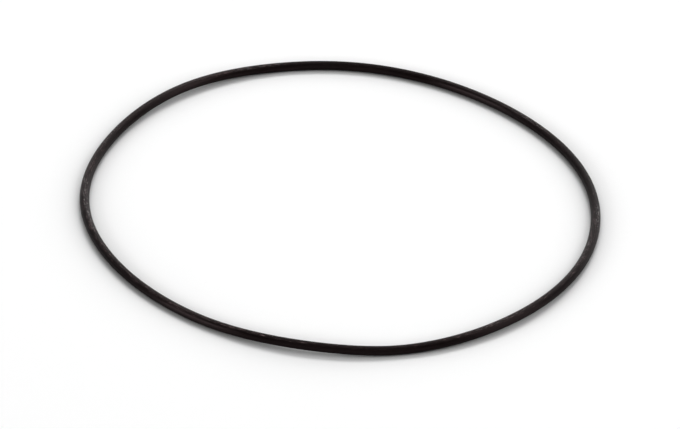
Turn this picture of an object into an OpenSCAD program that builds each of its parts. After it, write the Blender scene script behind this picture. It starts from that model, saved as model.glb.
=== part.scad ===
// A black rubber o-ring of plain round section, in millimetres.
// It is drawn as it lies on a bench: relaxed a little out of round, with three
// stretches that stand off the surface. All bulges and lifts at 0 give the true ring.

/* [Seal] */
// Inner diameter of the round ring
inner_diameter = 139.37; // [100:0.01:200]
// Diameter of the rubber section
section_diameter = 2.62; // [1.8:0.01:5.3]

/* [Mould line] */
// How far the parting line stands out of the inner and outer edge
flash_height = 0.05; // [0.02:0.01:0.12]
// Width of the parting line where it leaves the section
flash_width = 0.14; // [0.08:0.01:0.24]

/* [Out of round] */
// How far the ring's long ends stand out from the round ring
oval_bulge = 2.89; // [0:0.01:4]
// Direction of one long end, in degrees from +X
oval_direction = -46.2; // [-90:0.1:90]
// How far its three slight corners stand out
corner_bulge = 0.05; // [0:0.01:0.3]
// Direction of one corner, in degrees from +X
corner_direction = -48; // [-60:0.1:60]
// How far its four rounded shoulders stand out
shoulder_bulge = 0.43; // [0:0.01:0.6]
// Direction of one shoulder, in degrees from +X
shoulder_direction = 7; // [-45:0.1:45]
// How far its six shallow waves stand out
wave_bulge = 0.08; // [0:0.01:0.2]
// Direction of one wave, in degrees from +X
wave_direction = 10.8; // [-30:0.1:30]
// How far its seven finer waves stand out
ripple_bulge = 0.08; // [0:0.01:0.2]
// Direction of one finer wave, in degrees from +X
ripple_direction = 24.7; // [-26:0.1:26]

/* [Stretches off the bench] */
// Height of the gap below the front right stretch
right_lift = 0.5; // [0:0.05:1.5]
// Direction of the front right stretch, in degrees from +X
right_lift_direction = -48; // [-60:1:-40]
// Turn from that stretch's middle to where it touches down
right_lift_reach = 38; // [20:1:40]
// Height of the gap below the front left stretch
front_lift = 0.65; // [0:0.05:1.5]
// Direction of the front left stretch, in degrees from +X
front_lift_direction = -104; // [-115:1:-95]
// Turn from that stretch's middle to where it touches down
front_lift_reach = 25; // [15:1:30]
// Height of the gap below the back left stretch
back_lift = 0.7; // [0:0.05:1.5]
// Direction of the back left stretch, in degrees from +X
back_lift_direction = 129; // [110:1:140]
// Turn from that stretch's middle to where it touches down
back_lift_reach = 35; // [20:1:40]

/* [Hidden] */

RUBBER = "#1c1817";
// Sections set out along the ring, and flats on the round of each one
STATIONS = 160;
FLATS = 24;

section_radius = section_diameter / 2;
mean_radius = (inner_diameter + section_diameter) / 2;
flash_half_angle = atan(flash_width / section_diameter);

// Outward and lengthwise directions in plan, where the ring faces direction a
function outward(a) = [cos(a), sin(a), 0];
function along(a) = [-sin(a), cos(a), 0];

// The patterns that the relaxed ring is bent in, as [sides, bulge, direction]
PATTERNS = [
  [2, oval_bulge, oval_direction],
  [3, corner_bulge, corner_direction],
  [4, shoulder_bulge, shoulder_direction],
  [6, wave_bulge, wave_direction],
  [7, ripple_bulge, ripple_direction]
];
// The stretches that stand off the bench, as [lift, direction, reach]
STRETCHES = [
  [right_lift, right_lift_direction, right_lift_reach],
  [front_lift, front_lift_direction, front_lift_reach],
  [back_lift, back_lift_direction, back_lift_reach]
];
function sum(values) = values * [for (value = values) 1];

// A closed curve is set out by how far its tangent lies from the centre in each
// direction. Its length is that of the round ring, whatever the bulges are.
function phase(pattern, a) = pattern[0] * (a - pattern[2]);
function reach_out(a) = mean_radius + sum([for (p = PATTERNS) p[1] * cos(phase(p, a))]);
function reach_out_rate(a) = sum([for (p = PATTERNS) -p[0] * p[1] * sin(phase(p, a))]);
function bend_radius(a) = mean_radius
  + sum([for (p = PATTERNS) (1 - p[0] * p[0]) * p[1] * cos(phase(p, a))]);

// A lifted stretch rises and falls as one smooth wave over twice its reach
function place(stretch, a) = ((a - stretch[1] + 540) % 360 - 180) / stretch[2];
function rise(t) = abs(t) < 1 ? (1 + cos(180 * t)) / 2 : 0;
function rise_rate(t) = abs(t) < 1 ? -90 * sin(180 * t) : 0;
function lift(a) = sum([for (s = STRETCHES) s[0] * rise(place(s, a))]);
function lift_rate(a) = sum([for (s = STRETCHES) s[0] / s[2] * rise_rate(place(s, a))]);

// Centre of the section at direction a, and the section's own upward direction
function centre(a) = reach_out(a) * outward(a) + reach_out_rate(a) * along(a)
  + [0, 0, section_radius + lift(a)];
function upward(a) = let (pitch = atan(lift_rate(a) / bend_radius(a)))
  -sin(pitch) * along(a) + [0, 0, cos(pitch)];

// The section as [angle, radius] pairs: a circle with a low ridge at its two sides
function ridge(side) = [
  [side - flash_half_angle, section_radius],
  [side, section_radius + flash_height],
  [side + flash_half_angle, section_radius]
];
function arc(side) = [
  for (k = [1 : FLATS / 2 - 1]) [side + 360 * k / FLATS, section_radius]
];
section = concat(ridge(0), arc(0), ridge(180), arc(180));

function section_points(a) = [
  for (p = section) centre(a) + p[1] * (cos(p[0]) * outward(a) + sin(p[0]) * upward(a))
];

SIDES = len(section);
ring_points = [for (i = [0 : STATIONS - 1]) each section_points(360 * i / STATIONS)];
ring_faces = [
  for (i = [0 : STATIONS - 1], j = [0 : SIDES - 1])
    let (next_i = (i + 1) % STATIONS, next_j = (j + 1) % SIDES)
      [i * SIDES + j, i * SIDES + next_j, next_i * SIDES + next_j, next_i * SIDES + j]
];

// The ring stands with the middle of its outline over the origin
function middle(axis) = let (v = [for (p = ring_points) p[axis]]) (min(v) + max(v)) / 2;

module o_ring() {
  color(RUBBER)
    translate([-middle(0), -middle(1), 0])
      polyhedron(points = ring_points, faces = ring_faces, convexity = 4);
}

o_ring();
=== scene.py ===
import math

import bpy
from mathutils import Matrix, Vector


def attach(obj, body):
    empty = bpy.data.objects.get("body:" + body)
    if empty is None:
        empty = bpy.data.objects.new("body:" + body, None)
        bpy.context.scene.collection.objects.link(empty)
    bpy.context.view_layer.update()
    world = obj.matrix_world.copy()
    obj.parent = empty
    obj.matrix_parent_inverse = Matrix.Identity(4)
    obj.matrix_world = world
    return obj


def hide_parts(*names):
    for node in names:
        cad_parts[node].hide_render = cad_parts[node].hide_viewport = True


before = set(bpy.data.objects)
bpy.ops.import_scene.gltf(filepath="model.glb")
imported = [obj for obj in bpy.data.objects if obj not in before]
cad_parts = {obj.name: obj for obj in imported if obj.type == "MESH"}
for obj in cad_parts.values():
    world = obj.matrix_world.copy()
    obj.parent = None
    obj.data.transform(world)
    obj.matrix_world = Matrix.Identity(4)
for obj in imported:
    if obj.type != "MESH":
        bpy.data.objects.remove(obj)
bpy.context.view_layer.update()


# The o-ring: one moulding of black rubber with a round section and a fine parting
# line round its inner and outer edge. It lies relaxed, a little oval, with three
# stretches that stand off the bench, and carries pale dust and scuffs. Painted warm
# sheen lies in the dust colour, and a painted highlight in the scuffs at the left end.

MM = 0.001
ring = {
    "Inner Diameter": 139.37 * MM,
    "Section Diameter": 2.62 * MM,
    "Flash Height": 0.05 * MM,
    "Flash Width": 0.14 * MM,
    "Oval Bulge": 2.89 * MM,
    "Oval Direction": math.radians(-46.2),
    "Corner Bulge": 0.05 * MM,
    "Corner Direction": math.radians(-48),
    "Shoulder Bulge": 0.43 * MM,
    "Shoulder Direction": math.radians(7),
    "Wave Bulge": 0.08 * MM,
    "Wave Direction": math.radians(10.8),
    "Ripple Bulge": 0.08 * MM,
    "Ripple Direction": math.radians(24.7),
    "Right Lift": 0.5 * MM,
    "Right Lift Direction": math.radians(-48),
    "Right Lift Reach": math.radians(38),
    "Front Lift": 0.65 * MM,
    "Front Lift Direction": math.radians(-104),
    "Front Lift Reach": math.radians(25),
    "Back Lift": 0.7 * MM,
    "Back Lift Direction": math.radians(129),
    "Back Lift Reach": math.radians(35),
    "Surface Waver": 0.006 * MM,
    "Wavers Per Metre": 420.0,
}
WAVER_DETAIL = 3.0
WAVER_ROUGHNESS = 0.55
# The patterns that the relaxed ring is bent in, each with its number of sides
SIDES_OF = {"Oval": 2, "Corner": 3, "Shoulder": 4, "Wave": 6, "Ripple": 7}
STATIONS_ALONG = 960
FLATS_AROUND = 96
SECTION_RADIUS = ring["Section Diameter"] / 2
MEAN_RADIUS = (ring["Inner Diameter"] + ring["Section Diameter"]) / 2


def outline_point(turn):
    """Centre of the section in plan, where the ring faces that way.

    It is set by how far out its tangent lies from the centre, and by the rate at
    which that changes with the turn. So the ring keeps its length, however bent.
    """
    out, rate = MEAN_RADIUS, 0
    for name, sides in SIDES_OF.items():
        phase = sides * (turn - ring[name + " Direction"])
        out += ring[name + " Bulge"] * math.cos(phase)
        rate -= ring[name + " Bulge"] * math.sin(phase) * sides
    return Vector(
        (
            out * math.cos(turn) - rate * math.sin(turn),
            out * math.sin(turn) + rate * math.cos(turn),
        )
    )


# The middle of the outline stands over the origin. It is found in quarter degrees.
outline = [outline_point(math.radians(quarter / 4)) for quarter in range(4 * 360)]
outline_middle = Vector(
    (min(point[axis] for point in outline) + max(point[axis] for point in outline)) / 2
    for axis in (0, 1)
)
ring["Middle X"] = outline_middle.x
ring["Middle Y"] = outline_middle.y


class Term:
    """A socket of a node tree. Arithmetic on it adds Math nodes."""

    def __init__(self, tree, socket):
        self.tree, self.socket = tree, socket

    def worked(self, operation, *values):
        return add_node(
            self.tree, "ShaderNodeMath", {"operation": operation}, dict(enumerate(values))
        )

    def __add__(self, other):
        return self.worked("ADD", self, other)

    def __sub__(self, other):
        return self.worked("SUBTRACT", self, other)

    def __mul__(self, other):
        return self.worked("MULTIPLY", self, other)

    def __truediv__(self, other):
        return self.worked("DIVIDE", self, other)

    def __rsub__(self, other):
        return self.worked("SUBTRACT", other, self)

    def __neg__(self):
        return self.worked("MULTIPLY", self, -1)

    __radd__ = __add__
    __rmul__ = __mul__

    def cos(self):
        return self.worked("COSINE", self)

    def sin(self):
        return self.worked("SINE", self)

    def abs(self):
        return self.worked("ABSOLUTE", self)

    def wrapped(self):
        """The same angle, between minus half a turn and half a turn."""
        return self.worked("WRAP", self, math.pi, -math.pi)

    def at_most(self, other):
        return self.worked("MINIMUM", self, other)

    def power(self, other):
        return self.worked("POWER", self, other)

    def ramp(self, low, high):
        """Smooth step from 0 to 1 as this one goes from low to high."""
        return add_node(
            self.tree,
            "ShaderNodeMapRange",
            {"interpolation_type": "SMOOTHSTEP"},
            {"Value": self, "From Min": low, "From Max": high},
        )


def add_node(tree, kind, settings=None, inputs=None, output=0):
    """Adds a node, sets it, links or fills its sockets, and gives back one output."""
    node = tree.nodes.new(kind)
    for name, value in (settings or {}).items():
        setattr(node, name, value)
    for name, value in (inputs or {}).items():
        socket = node.inputs[name]
        if isinstance(value, Term):
            tree.links.new(value.socket, socket)
        else:
            socket.default_value = value
    return Term(tree, node.outputs[output])


def vector(tree, x, y, z):
    return add_node(tree, "ShaderNodeCombineXYZ", None, {"X": x, "Y": y, "Z": z})


# The colour sockets of a Mix node share their names with others, so they go by number
MIX_UNDER, MIX_OVER, MIX_RESULT = 6, 7, 2


def mixed(tree, factor, under, over):
    """The colour under at factor 0, and the colour over at factor 1."""
    inputs = {"Factor": factor, MIX_UNDER: under, MIX_OVER: over}
    return add_node(tree, "ShaderNodeMix", {"data_type": "RGBA"}, inputs, MIX_RESULT)


def build_ring_tree(material):
    """Sweeps the section, with its parting line, along the relaxed and lifted path."""
    tree = bpy.data.node_groups.new("ring_sweep", "GeometryNodeTree")
    tree.interface.new_socket("Geometry", in_out="OUTPUT", socket_type="NodeSocketGeometry")
    for name in ring:
        tree.interface.new_socket(name, in_out="INPUT", socket_type="NodeSocketFloat")
    group_in = tree.nodes.new("NodeGroupInput")
    size = {name: Term(tree, group_in.outputs[name]) for name in ring}
    section_radius = size["Section Diameter"] / 2
    mean_radius = (size["Inner Diameter"] + size["Section Diameter"]) / 2
    index = add_node(tree, "GeometryNodeInputIndex")

    def circle(points):
        return add_node(
            tree, "GeometryNodeCurvePrimitiveCircle", {"mode": "RADIUS"}, {"Resolution": points}
        )

    def marked(geometry, name, value):
        return add_node(
            tree,
            "GeometryNodeStoreNamedAttribute",
            {"data_type": "FLOAT_VECTOR", "domain": "POINT"},
            {"Geometry": geometry, "Name": name, "Value": value},
        )

    def moved(geometry, **place):
        return add_node(tree, "GeometryNodeSetPosition", None, {"Geometry": geometry, **place})

    # the line that the middle of the section follows
    turn = index * (2 * math.pi / STATIONS_ALONG)
    out, rate = mean_radius, 0
    for name, sides in SIDES_OF.items():
        phase = (turn - size[name + " Direction"]) * sides
        out = out + size[name + " Bulge"] * phase.cos()
        rate = rate - size[name + " Bulge"] * phase.sin() * sides

    def lifted(stretch):
        away = (turn - size[stretch + " Lift Direction"]).wrapped().abs()
        share = (away / size[stretch + " Lift Reach"]).at_most(1)
        return size[stretch + " Lift"] * ((share * math.pi).cos() + 1) / 2

    path_x = out * turn.cos() - rate * turn.sin() - size["Middle X"]
    path_y = out * turn.sin() + rate * turn.cos() - size["Middle Y"]
    path_z = section_radius + lifted("Right") + lifted("Front") + lifted("Back")
    path = marked(circle(STATIONS_ALONG), "along_ring", vector(tree, turn.cos(), turn.sin(), 0))
    path = moved(path, Position=vector(tree, path_x, path_y, path_z))
    path = add_node(tree, "GeometryNodeSetCurveNormal", {"mode": "Z_UP"}, {"Curve": path})

    # the section, with the parting line at its inner and outer side
    side = index * (2 * math.pi / FLATS_AROUND)
    ridge = 1 - (side.sin().abs() * size["Section Diameter"] / size["Flash Width"]).at_most(1)
    radius = section_radius + size["Flash Height"] * ridge
    # the sweep turns the profile's Y downward, so the stored direction is turned back
    facing = vector(tree, side.cos(), -side.sin(), 0)
    section = marked(circle(FLATS_AROUND), "round_section", facing)
    section = moved(section, Position=vector(tree, radius * side.cos(), radius * side.sin(), 0))
    body = add_node(
        tree, "GeometryNodeCurveToMesh", None, {"Curve": path, "Profile Curve": section}
    )

    # the skin wavers by a few thousandths of a millimetre
    waver = add_node(
        tree,
        "ShaderNodeTexNoise",
        {"noise_dimensions": "3D"},
        {
            "Vector": add_node(tree, "GeometryNodeInputPosition"),
            "Scale": size["Wavers Per Metre"],
            "Detail": WAVER_DETAIL,
            "Roughness": WAVER_ROUGHNESS,
        },
    )
    push = add_node(
        tree,
        "ShaderNodeVectorMath",
        {"operation": "SCALE"},
        {
            0: add_node(tree, "GeometryNodeInputNormal"),
            "Scale": (waver - 0.5) * 2 * size["Surface Waver"],
        },
    )
    body = moved(body, Offset=push)
    body = add_node(tree, "GeometryNodeSetShadeSmooth", None, {"Geometry": body})
    body = add_node(tree, "GeometryNodeRealizeInstances", None, {"Geometry": body})
    body = add_node(tree, "GeometryNodeSetMaterial", None, {"Geometry": body, "Material": material})
    group_out = tree.nodes.new("NodeGroupOutput")
    tree.links.new(body.socket, group_out.inputs[0])
    return tree


# Skin, dust and scuff colours. The dust colour's warm tint is partly painted sheen.
RUBBER_BLACK = (0.0012, 0.0003, 0.0003, 1)
DUST_AND_SHEEN_GREY = (0.235, 0.165, 0.165, 1)
# the scuff colour is also that of a painted highlight at the left end
SCUFF_AND_HIGHLIGHT_GREY = (0.225, 0.21, 0.21, 1)

# The skin's weak, warm shine. Fine lines along the ring draw it out round the section.
SHINE_LEVEL = 0.106
SHINE_TINT = (1.0, 0.74, 0.755, 1)
SHINE_ROUGHNESS = 0.453
SHINE_DRAWN_OUT = 0.847
QUARTER_TURN = 0.25
LINES_ROUGHEN = 0.3
DUST_ROUGHENS = 0.3
SMOOTHER_BY = 0.15

# Relief of the skin: its depth, and how much of it lines, grain and dust have
RELIEF_DEPTH = 0.03 * MM
RELIEF_STRENGTH = 0.5
LINE_RELIEF = 0.8
GRAIN_RELIEF = 0.3
DUST_RELIEF = 0.8

# Patterns drawn out along the ring, as scale along it, scale round the section,
# detail and roughness
LINES = (5.0, 3.5, 4.0, 0.7)
FLECKS = (30.0, 7.0, 4.0, 0.7)
STROKES = (48.0, 9.0, 3.0, 0.65)
# The levels of each pattern between which its mark comes in
FILM_AND_SHEEN_COMES_IN = (0.4, 0.75)
FLECKS_COME_IN = (0.53, 0.72)
STROKES_COME_IN = (0.54, 0.66)
# The heights on the section, of 1 at its top, between which dust settles more and more
DUST_SETTLES = (0.45, 1.0)
# Grain of the skin: grains per metre, detail and roughness
GRAIN = (3600.0, 3.0, 0.6)

# How much dust lies all over the top, how pale all flecks are, and how pale the film along
# the fine lines is. The film is partly dust and partly painted warm sheen.
DUST_ON_TOP = 0.35
DUST_STRENGTH = 0.62
FILM_AND_SHEEN_STRENGTH = 0.03

# Where dust, scuffs and smoother skin lie, as weight, direction and reach along the
# ring, and place and spread round the section, in degrees: 0 is the outer side and
# 90 the top
DUST = (
    (0.7, -14, 22, 95, 50),
    (1.3, -54, 20, 88, 44),
    (1.1, -122, 26, 88, 44),
    (1.2, -155, 24, 94, 50),
    (0.8, 172, 20, 90, 60),
    (0.7, 108, 18, 98, 40),
    (0.5, 38, 12, 84, 40),
)
# the strokes near the left end, about 180 degrees, also paint a highlight along the top
SCUFFS_AND_HIGHLIGHT = (
    (0.9, -168, 9, 112, 30),
    (1.4, -178, 9, 100, 34),
    (0.7, 174, 7, 50, 34),
    (0.9, 155, 5, 76, 36),
    (2.0, 39.5, 6, 76, 44),
    (1.6, -3, 6, 54, 40),
    (0.6, -18, 9, 108, 36),
    (0.9, 106, 8, 98, 34),
    (0.8, -56, 13, 92, 30),
)
SMOOTHER = (
    (1.0, 56, 18, 140, 70),
    (1.0, 121, 16, 140, 70),
    (1.0, -127, 18, 40, 70),
)


def black_rubber():
    """Black rubber: a near-black base with a weak, drawn-out shine, and dust on top.

    Painted warm sheen lies in the dust colour, and a painted highlight in the scuffs.
    """
    material = bpy.data.materials.new("black_rubber")
    material.use_nodes = True
    tree = material.node_tree
    tree.nodes.clear()

    def stored(name):
        """X and Y of a direction that the sweep stored on the surface."""
        settings = {"attribute_name": name}
        direction = add_node(tree, "ShaderNodeAttribute", settings, output="Vector")
        x = add_node(tree, "ShaderNodeSeparateXYZ", None, {"Vector": direction}, output="X")
        return x, Term(tree, x.socket.node.outputs["Y"])

    along_x, along_y = stored("along_ring")
    side_x, side_y = stored("round_section")

    def noise(dimensions, scale, detail, roughness, **place):
        return add_node(
            tree,
            "ShaderNodeTexNoise",
            {"noise_dimensions": dimensions},
            {"Scale": scale, "Detail": detail, "Roughness": roughness, **place},
        )

    def stretched(along_scale, side_scale, detail, roughness):
        """Noise drawn out along the ring: slow along it, quick round the section."""
        place = vector(tree, along_x * along_scale, along_y * along_scale, side_x * side_scale)
        return noise("4D", 1.0, detail, roughness, Vector=place, W=side_y * side_scale)

    def mark(direction, reach, side, spread):
        """A soft patch: its direction on the ring and its place round the section."""
        middle, turned = math.radians(direction), math.radians(side)
        lengthwise = along_x * math.cos(middle) + along_y * math.sin(middle)
        across = side_x * math.cos(turned) + side_y * math.sin(turned)
        return lengthwise.ramp(math.cos(math.radians(reach)), 1) * across.ramp(
            math.cos(math.radians(spread)), 1
        )

    def marks(patches):
        spots = [mark(*patch) * weight for weight, *patch in patches]
        return sum(spots[1:], spots[0])

    # fine lines drawn along the length, by the mould and by handling, and the grain
    lines = stretched(*LINES)
    place = add_node(tree, "ShaderNodeTexCoord", output="Object")
    grain = noise("3D", *GRAIN, Vector=place)

    # pale dust on the top of the ring, in flecks drawn out along it
    top = side_y.ramp(*DUST_SETTLES)
    flecks = stretched(*FLECKS).ramp(*FLECKS_COME_IN)
    # the film along the fine lines: partly dust, partly painted warm sheen
    film_and_sheen = lines.ramp(*FILM_AND_SHEEN_COMES_IN) * FILM_AND_SHEEN_STRENGTH
    dust_and_sheen = ((top * DUST_ON_TOP + marks(DUST)) * flecks * DUST_STRENGTH + film_and_sheen).at_most(1)

    # scuffs: short pale strokes where the skin is rubbed; those at the left end are also a
    # painted highlight streak along the top
    scuff_and_highlight = (marks(SCUFFS_AND_HIGHLIGHT) * stretched(*STROKES).ramp(*STROKES_COME_IN)).at_most(1)
    pale = (dust_and_sheen + scuff_and_highlight).at_most(1)
    dust_and_sheen_colour = mixed(tree, dust_and_sheen, RUBBER_BLACK, DUST_AND_SHEEN_GREY)

    # the lines vary the shine, dust dulls it, and it is sharper on the smoother skin
    varied = SHINE_ROUGHNESS + (lines - 0.5) * LINES_ROUGHEN
    roughness = varied + pale * DUST_ROUGHENS - marks(SMOOTHER) * SMOOTHER_BY
    relief = add_node(
        tree,
        "ShaderNodeBump",
        None,
        {
            "Strength": RELIEF_STRENGTH,
            "Distance": RELIEF_DEPTH,
            "Height": lines * LINE_RELIEF + grain * GRAIN_RELIEF + pale * DUST_RELIEF,
        },
    )
    shader = add_node(
        tree,
        "ShaderNodeBsdfPrincipled",
        None,
        {
            "Base Color": mixed(tree, scuff_and_highlight, dust_and_sheen_colour, SCUFF_AND_HIGHLIGHT_GREY),
            "Roughness": roughness,
            "Specular IOR Level": SHINE_LEVEL,
            "Specular Tint": SHINE_TINT,
            "Anisotropic": SHINE_DRAWN_OUT,
            "Anisotropic Rotation": QUARTER_TURN,
            "Normal": relief,
        },
    )
    output = tree.nodes.new("ShaderNodeOutputMaterial")
    tree.links.new(shader.socket, output.inputs["Surface"])
    return material


# The sweep is worked out once and kept as a plain mesh
ring_tree = build_ring_tree(black_rubber())
sweep = bpy.data.objects.new("ring_sweep", bpy.data.meshes.new("ring_sweep"))
bpy.context.collection.objects.link(sweep)
maker = sweep.modifiers.new("ring_sweep", "NODES")
maker.node_group = ring_tree
for item in ring_tree.interface.items_tree:
    if item.in_out == "INPUT":
        maker[item.identifier] = ring[item.name]
bpy.context.view_layer.update()
evaluated = sweep.evaluated_get(bpy.context.evaluated_depsgraph_get())
ring_mesh = bpy.data.meshes.new_from_object(evaluated)
ring_mesh.name = "o_ring_rubber"
bpy.data.objects.remove(sweep)
rubber_ring = bpy.data.objects.new("o_ring_rubber", ring_mesh)
bpy.context.collection.objects.link(rubber_ring)
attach(rubber_ring, "root")
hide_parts("o_ring")


# The floor: a flat, matt white sheet that the ring lies on, wide enough to fill the
# view. Its colour darkens a little near the ring, by ambient occlusion: painted shade
# that deepens the shadow where light has to creep in.
FLOOR_HALF = 4.0
PAINTED_SHADE_REACH = 20 * MM
PAINTED_SHADE_DEPTH = 0.62
PAINTED_SHADE_SAMPLES = 16
floor_mesh = bpy.data.meshes.new("floor")
floor_mesh.from_pydata(
    [(x * FLOOR_HALF, y * FLOOR_HALF, 0) for x, y in ((-1, -1), (1, -1), (1, 1), (-1, 1))],
    [],
    [(0, 1, 2, 3)],
)
floor = bpy.data.objects.new("floor", floor_mesh)
bpy.context.collection.objects.link(floor)
white = bpy.data.materials.new("white_sheet")
white.use_nodes = True
sheet = white.node_tree.nodes["Principled BSDF"]
sheet.inputs["Roughness"].default_value = 1.0
sheet.inputs["Specular IOR Level"].default_value = 0.0
# painted shade: ambient occlusion darkens the sheet's colour near the ring
openness = add_node(
    white.node_tree,
    "ShaderNodeAmbientOcclusion",
    {"samples": PAINTED_SHADE_SAMPLES},
    {"Distance": PAINTED_SHADE_REACH},
    output="AO",
)
painted_shade = mixed(white.node_tree, openness.power(PAINTED_SHADE_DEPTH), (0, 0, 0, 1), (1, 1, 1, 1))
white.node_tree.links.new(painted_shade.socket, sheet.inputs["Base Color"])
floor_mesh.materials.append(white)


# The light: soft boxes behind and above, at the left and at the right, and two low
# strips, one behind and one in front, as round a small product table.
LAMP_DISTANCE = 2.5


def soft_box(name, azimuth, elevation, half_azimuth, half_height, radiance):
    """A flat lamp of that radiance that faces the ring and fills these angles, in degrees."""
    azimuth, elevation = math.radians(azimuth), math.radians(elevation)
    half_width = math.radians(half_azimuth) * math.cos(elevation)
    lamp = bpy.data.lights.new(name, "AREA")
    lamp.shape = "RECTANGLE"
    lamp.size = 2 * LAMP_DISTANCE * math.tan(half_width)
    lamp.size_y = 2 * LAMP_DISTANCE * math.tan(math.radians(half_height))
    lamp.energy = radiance * math.pi * lamp.size * lamp.size_y
    holder = bpy.data.objects.new(name, lamp)
    bpy.context.collection.objects.link(holder)
    away = Vector(
        (
            math.cos(elevation) * math.cos(azimuth),
            math.cos(elevation) * math.sin(azimuth),
            math.sin(elevation),
        )
    )
    turned = away.to_track_quat("Z", "Y").to_matrix().to_4x4()
    holder.matrix_world = Matrix.Translation(away * LAMP_DISTANCE) @ turned
    holder.visible_camera = False


soft_box("box_back_high", 69, 52, half_azimuth=18, half_height=12, radiance=6.0)
soft_box("box_back_strip", 100, 51, half_azimuth=29, half_height=5, radiance=6.8)
soft_box("box_left", 201, 18, half_azimuth=14, half_height=13, radiance=6.0)
soft_box("box_right", 344, 29, half_azimuth=18, half_height=28, radiance=3.2)
for place, azimuth in (("right", 43), ("middle", 74), ("left", 105)):
    name = "strip_back_" + place
    soft_box(name, azimuth, 17, half_azimuth=15.5, half_height=12, radiance=2.0)
for place, azimuth in (("left", 243), ("middle", 264), ("right", 285)):
    name = "strip_front_" + place
    soft_box(name, azimuth, 21, half_azimuth=10.5, half_height=5, radiance=4.4)

# The room throws back a little light from all sides
ROOM_LIGHT = 0.04
world = bpy.data.worlds.new("studio")
bpy.context.scene.world = world
world.use_nodes = True
room = world.node_tree.nodes["Background"]
room.inputs["Color"].default_value = (1, 1, 1, 1)
room.inputs["Strength"].default_value = ROOM_LIGHT


# The camera: a long lens 34 degrees above the bench, 26 ring radii away. It looks at
# a point a little in front of the ring's middle, at the height of the section's.
ELEVATION = math.radians(34)
DISTANCE = 26.1 * MEAN_RADIUS
RING_BEHIND_AIM = 5.28 * MM
PIXELS_ACROSS = 680
PIXELS_PER_METRE = 3592.0
SENSOR_WIDTH = 36
FARTHEST_SEEN = 20.0
camera_data = bpy.data.cameras.new("camera")
camera_data.sensor_width = SENSOR_WIDTH
camera_data.lens = SENSOR_WIDTH * PIXELS_PER_METRE * DISTANCE / PIXELS_ACROSS
camera_data.clip_end = FARTHEST_SEEN
camera = bpy.data.objects.new("camera", camera_data)
bpy.context.collection.objects.link(camera)
aim = Vector((-outline_middle.x, -outline_middle.y - RING_BEHIND_AIM, SECTION_RADIUS))
back = Vector((0, -math.cos(ELEVATION), math.sin(ELEVATION)))
looking = back.to_track_quat("Z", "Y").to_matrix().to_4x4()
camera.matrix_world = Matrix.Translation(aim + back * DISTANCE) @ looking
bpy.context.scene.camera = camera
bpy.context.scene.view_settings.view_transform = "Standard"
